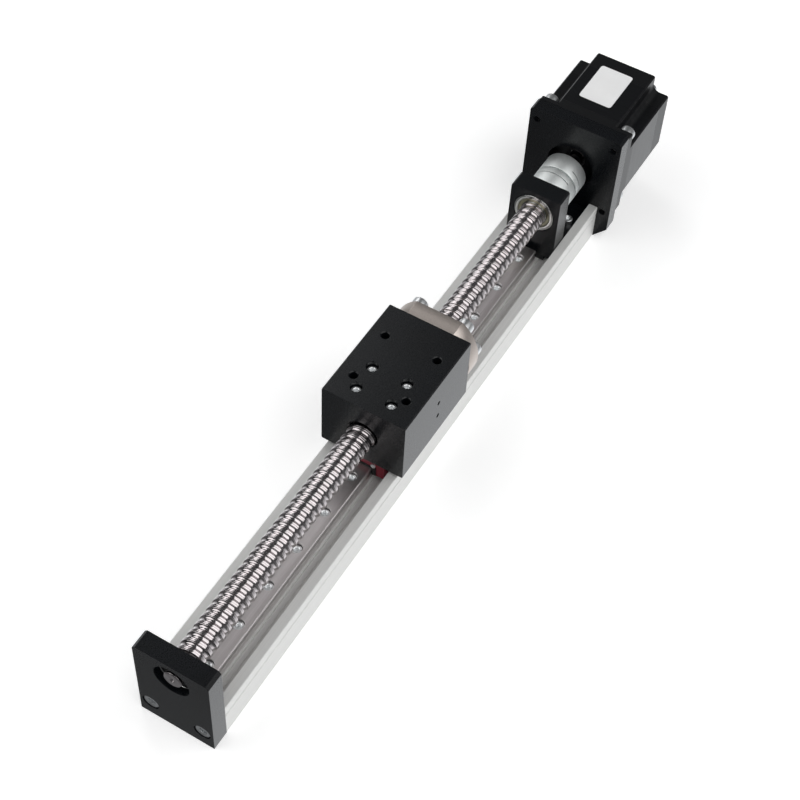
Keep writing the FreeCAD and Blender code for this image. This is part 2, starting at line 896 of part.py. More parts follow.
def motor_front_cap():
    """Square flange with the locating boss, and the notched collar that meets the stator."""
    half = motor_size / 2.0
    flange_y1 = motor_y0 + motor_flange_thickness
    flange = box(-half, half, motor_y0, flange_y1, axis_height - half, axis_height + half)
    upright = [edge for edge in flange.Edges if is_lengthwise(edge)]
    flange = flange.makeFillet(motor_corner, upright)
    collar = motor_outline_solid(flange_y1, stator_y0())
    boss = rod_y(pilot_radius, motor_y0 - pilot_height, motor_y0)
    body = fused([flange, collar, boss])
    bearing_y1 = motor_y0 - pilot_height + cap_wall + motor_bearing_width
    cuts = [
        rod_y(motor_ring_radius + fit_gap, motor_y0 - pilot_height + cap_wall, bearing_y1),
        rod_y(motor_shaft_radius + ring_wall, motor_y0 - pilot_height, bearing_y1),
        rod_y(rotor_bore_radius, bearing_y1, stator_y0()),
    ]
    cuts += [
        rod_y(m5["core_radius"] + bore_play, motor_y0, flange_y1, x, z)
        for x, z in motor_bolt_places()
    ]
    cuts += case_screw_holes(flange_y1 - face_gap, stator_y0())
    return body.cut(group(cuts))


def is_lengthwise(edge):
    along = edge.Vertexes[-1].Point - edge.Vertexes[0].Point
    return abs(along.x) + abs(along.z) < 1e-6


def case_screw_holes(y0, y1):
    z0 = axis_height
    offset = case_screw_offset
    return [
        rod_y(m3["core_radius"] + thread_play, y0, y1, x, z0 + z)
        for x in (-offset, offset) for z in (-offset, offset)
    ]


def stator_y0():
    return motor_y0 - pilot_height + cap_wall + motor_bearing_width + face_gap


def motor_stator():
    stator = motor_outline_solid(stator_y0(), motor_cap_y0)
    cuts = [rod_y(rotor_bore_radius, stator_y0(), motor_cap_y0)]
    cuts += case_screw_holes(stator_y0(), motor_cap_y0)
    return stator.cut(group(cuts))


def rear_bearing_y0():
    return motor_y1 - cap_wall - motor_bearing_width


def motor_rear_cap():
    cap = motor_outline_solid(motor_cap_y0, motor_y1)
    half = motor_size / 2.0
    grommet_y = motor_cap_y0 + motor_rear_cap_length / 2.0
    low = axis_height - half
    cuts = [
        rod_y(motor_ring_radius + fit_gap, rear_bearing_y0(), motor_y1 - cap_wall),
        rod_y(rotor_bore_radius, motor_cap_y0, rear_bearing_y0()),
        rod_z(grommet_radius + fit_gap, low, low + grommet_length, 0, grommet_y),
    ]
    cuts += case_screw_holes(motor_cap_y0, motor_y1)
    return cap.cut(group(cuts))


def motor_cable_grommet():
    """The rubber sleeve in the underside of the rear cap where the motor's leads come out."""
    grommet_y = motor_cap_y0 + motor_rear_cap_length / 2.0
    low = axis_height - motor_size / 2.0
    sleeve = rod_z(grommet_radius, low, low + grommet_length, 0, grommet_y)
    return sleeve.cut(rod_z(grommet_hole_radius, low, low + grommet_length, 0, grommet_y))


def motor_case_screws():
    reach = motor_y1 - (motor_y0 + motor_flange_thickness)
    z0 = axis_height
    offset = case_screw_offset
    return group([
        socket_screw(m3, reach, Vector(x, motor_y1, z0 + z), Vector(0, -1, 0))
        for x in (-offset, offset) for z in (-offset, offset)
    ])


def motor_screws():
    seat = motor_y0 + motor_flange_thickness
    reach = motor_flange_thickness + motor_plate_thickness - motor_screw_shy
    return group([
        socket_screw(m5, reach, Vector(x, seat, z), Vector(0, -1, 0)) for x, z in motor_bolt_places()
    ])


def motor_shaft():
    return turned([
        (motor_y0 - motor_shaft_reach, rear_bearing_y0() + motor_bearing_width, motor_shaft_radius),
    ])


def motor_rotor():
    """The toothed rotor, drawn as its outer sleeve with the magnet groove round its middle."""
    middle = (stator_y0() + motor_cap_y0) / 2.0
    y0 = middle - rotor_length / 2.0
    y1 = middle + rotor_length / 2.0
    rotor = ring_y(rotor_radius, motor_shaft_radius + fit_gap, y0, y1)
    half = rotor_groove_width / 2.0
    groove = ring_y(rotor_radius, rotor_radius - rotor_groove_depth, middle - half, middle + half)
    return rotor.cut(groove)


def save(name, shape):
    shape.exportStep("parts/" + name + ".step")


def save_bearings():
    """The idler bearing, the fixed bearing and the motor's two bearings, ring by ring."""
    idler = deep_groove_bearing(idler_ring_radius, idler_journal_radius, idler_bearing_width,
                                front - idler_bearing_width)
    fixed = deep_groove_bearing(fixed_ring_radius, fixed_journal_radius, fixed_bearing_width, block_y0)
    motor_front = deep_groove_bearing(motor_ring_radius, motor_shaft_radius, motor_bearing_width,
                                      motor_y0 - pilot_height + cap_wall)
    motor_rear = deep_groove_bearing(motor_ring_radius, motor_shaft_radius, motor_bearing_width,
                                     rear_bearing_y0())
    save("idler_bearing_outer_ring", idler[0])
    save("idler_bearing_inner_ring", idler[1])
    save("idler_bearing_shields", group(idler[2]))
    save("fixed_bearing_outer_ring", fixed[0])
    save("fixed_bearing_inner_ring", fixed[1])
    save("fixed_bearing_shields", group(fixed[2]))
    save("motor_bearing_outer_rings", group([motor_front[0], motor_rear[0]]))
    save("motor_bearing_inner_rings", group([motor_front[1], motor_rear[1]]))
    save("motor_bearing_shields", group(motor_front[2] + motor_rear[2]))


save("base_profile", base_profile())
save("end_plate", end_plate())
save("end_plate_screws", end_plate_screws())
save("guide_rail", guide_rail())
save("rail_screws", rail_screws())
save("bearing_block", bearing_block())
save("bearing_block_screws", bearing_block_screws())
save("motor_plate", motor_plate())
save("motor_plate_screws", motor_plate_screws())
save("motor_front_cap", motor_front_cap())
save("motor_stator", motor_stator())
save("motor_rear_cap", motor_rear_cap())
save("motor_cable_grommet", motor_cable_grommet())
save("motor_case_screws", motor_case_screws())
save("motor_screws", motor_screws())
save_bearings()
save("ball_screw", ball_screw())
save("snap_ring", snap_ring())
save("lock_nut", lock_nut())
save("coupling", coupling())
save("coupling_screws", coupling_screws())
save("motor_shaft", motor_shaft())
save("motor_rotor", motor_rotor())
save("slider_block", slider_block())
save("slider_screws", slider_screws())
save("guide_carriage", guide_carriage())
save("carriage_end_caps", carriage_end_caps())
save("carriage_end_seals", carriage_end_seals())
save("carriage_cap_screws", carriage_cap_screws())
save("ball_nut", ball_nut())
save("ball_returns", ball_returns())
save("nut_wipers", nut_wipers())
save("nut_screws", nut_screws())
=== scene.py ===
# %% [markdown]
# # A ball screw linear module
# This lesson dresses a linear module: a motor turns a ball screw, and the nut on the screw pulls a
# slider along a rail. The solids come ready made as a fixed frame, each riding on the body it moves
# with. We add the forms that want smooth, rounded surfaces, and give every surface its finish.

# %% Load the frame
import bmesh
import bpy
import json
import math
from mathutils import Matrix, Vector


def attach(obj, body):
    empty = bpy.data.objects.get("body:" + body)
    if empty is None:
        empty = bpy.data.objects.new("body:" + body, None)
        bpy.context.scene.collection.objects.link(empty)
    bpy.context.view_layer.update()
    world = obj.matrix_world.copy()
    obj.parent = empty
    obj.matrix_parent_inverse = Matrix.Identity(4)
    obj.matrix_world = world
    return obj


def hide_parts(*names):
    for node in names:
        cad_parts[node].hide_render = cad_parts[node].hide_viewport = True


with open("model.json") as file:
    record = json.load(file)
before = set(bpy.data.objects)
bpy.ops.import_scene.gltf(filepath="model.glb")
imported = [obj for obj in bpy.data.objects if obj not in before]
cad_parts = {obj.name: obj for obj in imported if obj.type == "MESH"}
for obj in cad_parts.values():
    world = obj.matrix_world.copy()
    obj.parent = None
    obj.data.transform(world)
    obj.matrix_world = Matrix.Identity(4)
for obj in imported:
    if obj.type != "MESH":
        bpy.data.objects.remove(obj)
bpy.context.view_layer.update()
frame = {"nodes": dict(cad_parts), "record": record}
nodes = frame["nodes"]

# %% [markdown]
# Sizes are given in millimetres, as on a drawing, and the scene is in metres, so one helper turns a
# place from the one into the other. The module's frame has X across it, Y along it towards the
# motor and Z up. The screw's axis is 44.5 mm above the bed, and the extrusion starts at FRONT.

# %% Sizes that many pieces share
MM = 0.001
AXIS = 44.5
FRONT = -186.0
SCREW_RADIUS = 7.5
LEAD = 5.0


def place(x, y, z):
    return Vector((x, y, z)) * MM


print("screw's front end, in metres:", [round(value, 4) for value in place(0, FRONT, AXIS)])

# %% [markdown]
# ## Finishes
# Each finish starts from what the real surface is and how it was made. A colour is written as the
# hex value seen on a screen, and Blender's shaders want linear light, so one function turns it.
# Another adds a node with its settings and links, so a finish reads as a short list of what it
# holds.

# %% Colours, nodes and new materials
def linear(code):
    """The linear colour of an sRGB hex value."""
    values = [int(code[i:i + 2], 16) / 255 for i in (1, 3, 5)]
    return [v / 12.92 if v <= 0.04045 else ((v + 0.055) / 1.055) ** 2.4 for v in values] + [1.0]


def add_node(tree, kind, settings=None, **inputs):
    """Adds a node; an input is a value, or another node's output to link from."""
    node = tree.nodes.new(kind)
    for key, value in (settings or {}).items():
        setattr(node, key, value)
    for key, value in inputs.items():
        by_number = key[0] == "i" and key[1:].isdigit()
        socket = node.inputs[int(key[1:]) if by_number else key.replace("_", " ")]
        if isinstance(value, bpy.types.NodeSocket):
            tree.links.new(value, socket)
        else:
            socket.default_value = value
    return node


def new_finish(name, metallic, roughness, colour=None, **sockets):
    material = bpy.data.materials.new(name)
    material.use_nodes = True
    shader = material.node_tree.nodes["Principled BSDF"]
    shader.inputs["Metallic"].default_value = metallic
    shader.inputs["Roughness"].default_value = roughness
    if colour:
        shader.inputs["Base Color"].default_value = linear(colour)
    for key, value in sockets.items():
        shader.inputs[key.replace("_", " ")].default_value = value
    return material, material.node_tree, shader


def drive(shader, socket, output):
    """Lets a pattern's output set one of the shader's sockets."""
    shader.id_data.links.new(output, shader.inputs[socket])


print("middle grey in linear light:", [round(value, 3) for value in linear("#808080")[:3]])

# %% [markdown]
# No real surface is one flat colour. A noise makes small changes of colour, roughness and height.
# It reads Object coordinates, so it stays on the piece when the piece moves, and it is given the
# real size of the marks in millimetres along each axis: equal sizes make grit, and one long size
# makes lines.

# %% Patterns in real sizes
def pattern_space(tree, sizes_mm):
    """Object coordinates with each axis divided by the pattern's real size along it."""
    coordinates = add_node(tree, "ShaderNodeTexCoord").outputs["Object"]
    scale = [1.0 / (size * MM) for size in sizes_mm]
    return add_node(tree, "ShaderNodeMapping", Vector=coordinates, Scale=scale).outputs[0]


def grain(tree, sizes_mm, detail=2.0):
    space = pattern_space(tree, sizes_mm)
    return add_node(tree, "ShaderNodeTexNoise", Vector=space, Scale=1.0,
                    Detail=detail).outputs["Fac"]


def colour_between(tree, fac, low, high, start=0.3, stop=0.7):
    ramp = add_node(tree, "ShaderNodeValToRGB", Fac=fac)
    ramp.color_ramp.elements[0].position = start
    ramp.color_ramp.elements[1].position = stop
    ramp.color_ramp.elements[0].color = linear(low)
    ramp.color_ramp.elements[1].color = linear(high)
    return ramp.outputs["Color"]


def value_between(tree, fac, low, high):
    node = add_node(tree, "ShaderNodeMapRange", Value=fac)
    node.inputs["To Min"].default_value = low
    node.inputs["To Max"].default_value = high
    return node.outputs["Result"]


print("grain of 0.5 mm has a scale of", 1.0 / (0.5 * MM), "to the metre")

# %% [markdown]
# Grit and lines also have a height, which a Bump node turns into light and shade. A machined edge
# is never quite sharp, and that hairline of light is what makes a part look real. The solids have
# sharp edges, so a Bevel node bends the light over each corner as a real radius would.

# %% Relief and soft corners
BEVEL_SAMPLES = 6


def relief(tree, shader, height, depth_mm, edge_mm=0.25):
    edge = add_node(tree, "ShaderNodeBevel", {"samples": BEVEL_SAMPLES}, Radius=edge_mm * MM)
    bump = add_node(tree, "ShaderNodeBump", Height=height, Distance=depth_mm * MM, Strength=1.0,
                    Normal=edge.outputs["Normal"])
    drive(shader, "Normal", bump.outputs["Normal"])


print("corner samples:", BEVEL_SAMPLES)

# %% [markdown]
# The plates, the blocks and the slider are aluminium, bead blasted and then black anodised. The
# beads leave a fine even grit, and the dyed layer is a little glossy, so edges catch the light
# while flat faces stay deep. The real grit is about 0.05 mm, too fine to show, so it is drawn at
# 0.35 mm. The dye is never quite even, so the colour also drifts over some 30 mm.

# %% Black anodised aluminium
BLASTED_GRIT = (0.35, 0.35, 0.35)
DYE_CLOUD = (30, 30, 30)


def black_anodised_finish(name, low, high, roughness):
    material, tree, shader = new_finish(name, 0.0, roughness, IOR=1.5, Specular_IOR_Level=0.4)
    grit = grain(tree, BLASTED_GRIT, detail=3.0)
    cloud = grain(tree, DYE_CLOUD)
    drive(shader, "Base Color", colour_between(tree, cloud, low, high))
    drive(shader, "Roughness", value_between(tree, grit, roughness - 0.06, roughness + 0.08))
    relief(tree, shader, grit, depth_mm=0.006)
    return material


black_anodised = black_anodised_finish("black_anodised_aluminium", "#07090c", "#0b0e12", 0.27)
print("finish:", black_anodised.name)

# %% [markdown]
# The base is an extrusion, anodised in its natural silver. The die leaves fine lines that run its
# whole length, so the noise is stretched: 0.45 mm across and 150 mm along. The clear layer scatters
# most of the light, so it reads as a pale satin grey and only slightly as metal, and it darkens a
# little where the lines are deep.

# %% Silver anodised extrusion
DIE_LINES = (0.45, 150, 0.45)
SATIN_HAZE = (18, 60, 18)


def extruded_finish(name, low, high, roughness):
    material, tree, shader = new_finish(name, 0.15, roughness, Specular_IOR_Level=0.15)
    lines = grain(tree, DIE_LINES, detail=4.0)
    haze = grain(tree, SATIN_HAZE)
    drive(shader, "Base Color", colour_between(tree, lines, low, high, start=0.2, stop=0.8))
    drive(shader, "Roughness", value_between(tree, haze, roughness - 0.05, roughness + 0.08))
    relief(tree, shader, lines, depth_mm=0.01)
    return material


silver_anodised = extruded_finish("silver_anodised_aluminium", "#dfdfdd", "#e9e9e7", 0.42)
print("finish:", silver_anodised.name)

# %% [markdown]
# The bare and plated metals differ in colour, in roughness and in which way their marks run: along
# the rail, round the turned parts, and every way on what is blasted or plated. They keep the
# default IOR, as a metal's colour already holds its reflection. One function makes them all, with
# the marks drawn in the colour, the roughness and a relief of a few thousandths of a millimetre.

# %% Metals
def metal_finish(name, low, high, roughness, marks, depth_mm, edge_mm=0.2):
    material, tree, shader = new_finish(name, 1.0, roughness)
    lines = grain(tree, marks, detail=3.0)
    drive(shader, "Base Color", colour_between(tree, lines, low, high))
    drive(shader, "Roughness", value_between(tree, lines, roughness * 0.8, roughness * 1.25))
    relief(tree, shader, lines, depth_mm, edge_mm)
    return material


# Ground along its length, so the light lies on it in a soft streak.
rail_steel = metal_finish("ground_rail_steel", "#cdc8c8", "#d8d4d4", 0.3,
                          marks=(0.3, 60, 0.3), depth_mm=0.002)
# Rolled and polished round the bar, close to a mirror, so each turn shows the whole room.
screw_steel = metal_finish("rolled_screw_steel", "#c0b9ba", "#d2cccd", 0.13,
                           marks=(4, 0.5, 4), depth_mm=0.002)
# Blasted with fine beads and left bare, so it is the whitest and the dullest of them.
blasted_aluminium = metal_finish("bead_blasted_aluminium", "#e6eae9", "#f0f3f2", 0.52,
                                 marks=(0.4, 0.4, 0.4), depth_mm=0.004)
# Nickel plated over a ground flange, which gives a warm grey with a soft sheen.
nickelled_steel = metal_finish("dull_nickelled_steel", "#c6bcb5", "#d2c8c1", 0.4,
                               marks=(0.6, 0.6, 0.6), depth_mm=0.006)
# Bearing rings are ground and honed, so their rims flash.
bearing_steel = metal_finish("polished_bearing_steel", "#c3c4c2", "#d6d7d4", 0.12,
                             marks=(8, 0.4, 8), depth_mm=0.002)
# Shields are pressed from sheet and passivated, which leaves a faint yellow.
shield_steel = metal_finish("passivated_shield_steel", "#9b9884", "#b0ad98", 0.3,
                            marks=(5, 0.5, 5), depth_mm=0.003)
# Zinc plate is pale and slightly blue, and it softens what it reflects.
zinc_steel = metal_finish("bright_zinc_steel", "#dcdedf", "#ebedee", 0.33,
                          marks=(0.5, 0.5, 0.5), depth_mm=0.003, edge_mm=0.12)
# Black oxide is thin, so a dark metal still shows through it.
dark_steel = metal_finish("black_oxide_steel", "#2c2c2d", "#3a3a3b", 0.35,
                          marks=(0.5, 0.5, 0.5), depth_mm=0.004, edge_mm=0.12)
print("metals:", rail_steel.name, screw_steel.name, blasted_aluminium.name, nickelled_steel.name,
      bearing_steel.name, shield_steel.name, zinc_steel.name, dark_steel.name)

# %% [markdown]
# The motor's stator is a stack of 0.5 mm steel sheets under thin black paint, so its sides show
# fine lines across the stack. Its end caps are cast aluminium in the same paint, with the casting's
# small pits in place of the lines. Paint and plastic are alike to a shader: a colour under a clear
# surface, with an IOR of 1.5. So one function serves for both.

# %% Painted motor
def paint_or_plastic(name, low, high, roughness, marks, depth_mm):
    material, tree, shader = new_finish(name, 0.0, roughness, IOR=1.5, Specular_IOR_Level=0.35)
    texture = grain(tree, marks)
    drive(shader, "Base Color", colour_between(tree, texture, low, high))
    drive(shader, "Roughness", value_between(tree, texture, roughness - 0.05, roughness + 0.07))
    relief(tree, shader, texture, depth_mm)
    return material


painted_stack = paint_or_plastic("painted_lamination_stack", "#0a0b0d", "#131417", 0.3,
                                 marks=(12, 0.5, 12), depth_mm=0.03)
painted_cast = paint_or_plastic("painted_cast_aluminium", "#0b0c0e", "#111214", 0.36,
                                marks=(0.6, 0.6, 0.6), depth_mm=0.015)
print("motor paint:", painted_stack.name, painted_cast.name)

# %% [markdown]
# The moulded parts are the red return caps of the rail carriage, the black rubber seals and the
# white plastic deflectors. A mould is spark eroded, and the plastic takes on its faint texture. The
# motor's label is paper under a satin film, so it is smooth.

# %% Plastics, rubber and paper
# Dyed right through, with the satin gloss of the mould.
red_plastic = paint_or_plastic("moulded_red_plastic", "#74182a", "#8a1e31", 0.36,
                               marks=(0.5, 0.5, 0.5), depth_mm=0.01)
# Filled with soot, so it is dull and a shade greyer than paint.
black_rubber = paint_or_plastic("nitrile_rubber", "#131314", "#1c1c1d", 0.62,
                                marks=(0.4, 0.4, 0.4), depth_mm=0.02)
# Undyed, so it is a warm white.
white_plastic = paint_or_plastic("moulded_white_plastic", "#c9c7c0", "#d8d6cf", 0.45,
                                 marks=(0.5, 0.5, 0.5), depth_mm=0.008)
# The film lies flat, with only a slow wave.
label_paper = paint_or_plastic("film_covered_paper", "#fafafa", "#fefefe", 0.3,
                               marks=(9, 9, 9), depth_mm=0.002)
print("moulded and paper:", red_plastic.name, black_rubber.name, white_plastic.name,
      label_paper.name)

# %% [markdown]
# ## Finishes on the solids
# The solids that already have the right shape only need a finish. Every node gets one, also those
# that a smoother piece will stand for, because they still show wherever the piece is left out.

# %% Give every solid its finish
finish_of_slot = {
    "silver_anodised": silver_anodised,
    "black_anodised": black_anodised,
    "bare_aluminium": blasted_aluminium,
    "ground_steel": screw_steel,
    "rail_steel": rail_steel,
    "nickelled_steel": nickelled_steel,
    "bearing_steel": bearing_steel,
    "shield_steel": shield_steel,
    "zinc_steel": zinc_steel,
    "black_oxide_steel": dark_steel,
    "spring_steel": dark_steel,
    "laminated_steel": painted_stack,
    "painted_cap": painted_cast,
    "red_plastic": red_plastic,
    "black_rubber": black_rubber,
    "white_plastic": white_plastic,
}
slot_of_node = {part["node"]: part["material_slot"] for part in frame["record"]["subparts"]}
for name, solid in nodes.items():
    solid.data.materials.clear()
    solid.data.materials.append(finish_of_slot[slot_of_node[name]])
print("solids with a finish:", len(nodes))

# %% [markdown]
# ## Modelling in code
# Modelling by hand means picking faces or edges and acting on them. In code the picking is a test
# of where a part of the mesh is or which way it points. An operator acts on all that is selected,
# so each step first lets go of everything.

# %% Select and name
def let_go():
    if bpy.context.object and bpy.context.object.mode != "OBJECT":
        bpy.ops.object.mode_set(mode="OBJECT")
    bpy.ops.object.select_all(action="DESELECT")


def only(piece):
    let_go()
    piece.select_set(True)
    bpy.context.view_layer.objects.active = piece


def named(name):
    """Names the primitive just added and puts its place and turn into its mesh."""
    piece = bpy.context.object
    piece.name = name
    bpy.ops.object.transform_apply(location=True, rotation=True, scale=True)
    return piece


def pick(piece, kind, test):
    """Opens the piece in edit mode with only the faces, edges or vertices that pass the test."""
    only(piece)
    bpy.ops.object.mode_set(mode="EDIT")
    bpy.ops.mesh.select_mode(type=kind)
    bpy.ops.mesh.select_all(action="DESELECT")
    shape = bmesh.from_edit_mesh(piece.data)
    parts = {"FACE": shape.faces, "EDGE": shape.edges, "VERT": shape.verts}[kind]
    for part in parts:
        part.select_set(test(part))
    shape.select_flush_mode()
    bmesh.update_edit_mesh(piece.data)


def close_edit():
    bpy.ops.object.mode_set(mode="OBJECT")


let_go()
print("selected:", len(bpy.context.selected_objects))

# %% [markdown]
# A modifier is added, set and applied at once, so that what is left is a plain mesh. Two are used
# often enough to have a name: a cut, which takes one shape out of another, and a small bevel, which
# breaks the edges as a file or a tumbler does.

# %% Modify, cut, round and smooth
def modify(piece, kind, **settings):
    only(piece)
    bpy.ops.object.modifier_add(type=kind)
    modifier = piece.modifiers[-1]
    for key, value in settings.items():
        setattr(modifier, key, value)
    bpy.ops.object.modifier_apply(modifier=modifier.name)


def cut(piece, *tools):
    """Takes the tools' shapes out of the piece and throws the tools away."""
    for tool in tools:
        modify(piece, "BOOLEAN", operation="DIFFERENCE", object=tool, solver="EXACT")
        bpy.data.objects.remove(tool)


def round_edges(piece, width, steps=3, angle=40):
    """Bevels every edge whose faces meet at more than the angle; a single step is a chamfer."""
    modify(piece, "BEVEL", width=width * MM, segments=steps, limit_method="ANGLE",
           angle_limit=math.radians(angle), harden_normals=False)


def smooth(piece, angle=35):
    only(piece)
    bpy.ops.object.shade_smooth_by_angle(angle=math.radians(angle))


print("triangles in the slider block's solid:", len(nodes["slider_block"].data.polygons))

# %% [markdown]
# A finished piece is one mesh. Its parts are joined, and then it is dressed: it gets its finish, it
# rides on the body it moves with, and it stands for the solids whose place it takes.

# %% Join and dress
def join(name, pieces):
    let_go()
    for piece in pieces:
        piece.select_set(True)
    bpy.context.view_layer.objects.active = pieces[0]
    if len(pieces) > 1:
        bpy.ops.object.join()
    pieces[0].name = name
    return pieces[0]


def dress(piece, body, slot, *stands_for):
    """Puts a finished piece on its body, in its slot's finish, in place of solids it covers."""
    piece.data.materials.clear()
    piece.data.materials.append(finish_of_slot[slot])
    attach(piece, body)
    if stands_for:
        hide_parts(*stands_for)
    print(piece.name, "faces:", len(piece.data.polygons))


print("slots with a finish:", len(finish_of_slot))

# %% [markdown]
# ## The ball screw
# The real screw is rolled: a round groove runs round the bar in a helix, and balls run in it.
# Cutting a swept tool out of a bar gives messy triangles, so the thread is drawn once as the
# outline of one turn, a groove between two halves of the land, and the Screw modifier winds it up.
# Each turn's outline ends where the next begins, so the surface closes on itself. A ball groove is
# two arcs that meet in a narrow flat, so the two halves of a circle's arc are moved a little apart.
# Rolling pushes the steel up from both sides, and where the two swellings meet, a fine seam runs
# along the land.

# %% Sizes of the thread
GROOVE_HALF = 1.5
GROOVE_DEEP = 0.95
GROOVE_FLAT = 0.12
GROOVE_START = 1.95
SEAM_HALF = 0.1
SEAM_DEEP = 0.07
LAND_EDGE = 0.16
THREAD_Y0 = FRONT + 1.0
THREAD_Y1 = FRONT + 327.8
ARC_HALF = GROOVE_HALF - GROOVE_FLAT
ARC_RADIUS = (ARC_HALF ** 2 + GROOVE_DEEP ** 2) / (2 * GROOVE_DEEP)
ARC_POINTS = 36
POINTS_PER_TURN = 40
TINY = 1e-6
print("groove arc radius in mm:", round(ARC_RADIUS, 3))

# %% [markdown]
# The outline starts as a whole circle, because an arc is easiest to get by cutting one. A bisect
# takes away what lies outside the bar. The two loose ends at the bar's surface are then extruded
# along the land to each side, and once more, a little inwards, for the seam.

# %% Outline of one turn
def on_land(point):
    return point.co.x > (SCREW_RADIUS - 0.001) * MM


def one_turn_outline():
    """Along Z here, with the groove's middle at height 0; the left-over circle is bisected away."""
    let_go()
    bpy.ops.mesh.primitive_circle_add(
        vertices=ARC_POINTS, radius=ARC_RADIUS * MM, rotation=(math.pi / 2, 0, 0),
        location=place(SCREW_RADIUS - GROOVE_DEEP + ARC_RADIUS, 0, 0))
    outline = named("ball_screw_bar")
    pick(outline, "EDGE", lambda edge: True)
    bpy.ops.mesh.bisect(plane_co=place(SCREW_RADIUS, 0, 0), plane_no=(1, 0, 0), clear_outer=True)
    for side in (-1, 1):
        pick(outline, "VERT", lambda point: point.co.z * side > TINY)
        bpy.ops.transform.translate(value=place(0, 0, side * GROOVE_FLAT))
    for side in (-1, 1):
        pick(outline, "VERT", lambda point: on_land(point) and point.co.z * side > 0)
        to_seam = place(0, 0, side * (LEAD / 2 - GROOVE_HALF - SEAM_HALF))
        bpy.ops.mesh.extrude_region_move(TRANSFORM_OT_translate={"value": to_seam})
        into_seam = place(-SEAM_DEEP, 0, side * SEAM_HALF)
        bpy.ops.mesh.extrude_region_move(TRANSFORM_OT_translate={"value": into_seam})
    close_edit()
    return outline


screw_bar = one_turn_outline()
print("points in one turn's outline:", len(screw_bar.data.vertices))

# %% [markdown]
# The edge between groove and land is broken on the real screw, which gives the bright fine line on
# each side of every land. A small bevel of the outline's corners makes it before the winding. The
# winding is then laid along Y, and a bisect at each end cuts it off square and closes it.

# %% Wind the thread and cut it to length
turns = math.ceil((THREAD_Y1 - THREAD_Y0) / LEAD) + 2
pick(screw_bar, "VERT", on_land)
bpy.ops.mesh.bevel(offset=LAND_EDGE * MM, segments=2, affect="VERTICES")
close_edit()
modify(screw_bar, "SCREW", axis="Z", angle=2 * math.pi, screw_offset=LEAD * MM, iterations=turns,
       steps=POINTS_PER_TURN, render_steps=POINTS_PER_TURN, use_merge_vertices=False,
       use_smooth_shade=True)
pick(screw_bar, "VERT", lambda point: True)
bpy.ops.mesh.remove_doubles(threshold=TINY)
close_edit()
screw_bar.data.transform(Matrix.Rotation(-math.pi / 2, 4, "X"))
screw_bar.data.transform(Matrix.Translation(place(0, THREAD_Y0 + GROOVE_START - LEAD, AXIS)))
for end, outwards in ((THREAD_Y0, -1), (THREAD_Y1, 1)):
    pick(screw_bar, "FACE", lambda face: True)
    bpy.ops.mesh.bisect(plane_co=place(0, end, AXIS), plane_no=(0, outwards, 0),
                        clear_outer=True, use_fill=True)
pick(screw_bar, "FACE", lambda face: True)
bpy.ops.mesh.normals_make_consistent(inside=False)
close_edit()
print("thread faces:", len(screw_bar.data.polygons))

# %% [markdown]
# Past the thread the bar is turned down to the journals that sit in the bearings and the coupling.
# They are plain turned steps, so each is a rod with its end chamfered. Most of the module's round
# parts lie along the screw, so the primitives are made as cylinders turned to face the motor. The
# mark in the idler end, which the lathe's centre left, is a cone cut into the front journal.

# %% Round stock along the screw
ALONG_Y = (-math.pi / 2, 0, 0)
ROD_SIDES = 64


def rod(name, radius, y0, y1, sides=ROD_SIDES):
    let_go()
    bpy.ops.mesh.primitive_cylinder_add(vertices=sides, radius=radius * MM, depth=(y1 - y0) * MM,
                                        location=place(0, (y0 + y1) / 2, AXIS), rotation=ALONG_Y)
    return named(name)


def cone(name, radius0, radius1, y0, y1):
    let_go()
    bpy.ops.mesh.primitive_cone_add(vertices=ROD_SIDES, radius1=radius0 * MM,
                                    radius2=radius1 * MM, depth=(y1 - y0) * MM,
                                    location=place(0, (y0 + y1) / 2, AXIS), rotation=ALONG_Y)
    return named(name)


def journal(name, radius, y0, y1, chamfer):
    piece = rod(name, radius, y0, y1)
    round_edges(piece, chamfer, steps=1)
    return piece


print("sides of a rod:", ROD_SIDES)

# %% [markdown]
# Each step reaches a little into the next, so that no gap shows between them. The steps keep their
# own closed shapes when they are joined, which costs a few hidden faces and saves a boolean.

# %% Journals
FIXED_Y0 = FRONT + 328.8
FRONT_TIP = FRONT - 9.6
REAR_TIP = FRONT + 357.5
front_journal = journal("front_journal", radius=5.0, y0=FRONT_TIP, y1=FRONT + 0.2, chamfer=0.5)
cut(front_journal, cone("centre_drill", radius0=1.7, radius1=0.15, y0=FRONT - 9.7, y1=FRONT - 7.9))
turned_steps = [
    front_journal,
    journal("front_shoulder", radius=6.3, y0=FRONT, y1=THREAD_Y0 + 0.1, chamfer=0.1),
    journal("rear_shoulder", radius=7.3, y0=THREAD_Y1 - 0.1, y1=FIXED_Y0, chamfer=0.1),
    journal("fixed_journal", radius=6.0, y0=FRONT + 328.7, y1=FRONT + 338.8, chamfer=0.2),
    journal("coupling_journal", radius=5.0, y0=FRONT + 338.7, y1=REAR_TIP, chamfer=0.4),
]
ball_screw_bar = join("ball_screw_bar", [screw_bar] + turned_steps)
smooth(ball_screw_bar, 32)
dress(ball_screw_bar, "screw", "ground_steel", "ball_screw")

# %% [markdown]
# ## The bearings
# A shielded bearing shows its two ground rings and, set back between them, a pressed steel or
# rubber shield with a raised bead. A spun outline would do for each, but a tube whose wall is grown
# inwards by Solidify says the same in two radii, and its rims are rounded like the rest. The shield
# is a thin ring, with a second one on its outer part that stands a little proud.

# %% Rings
RING_SIDES = 96


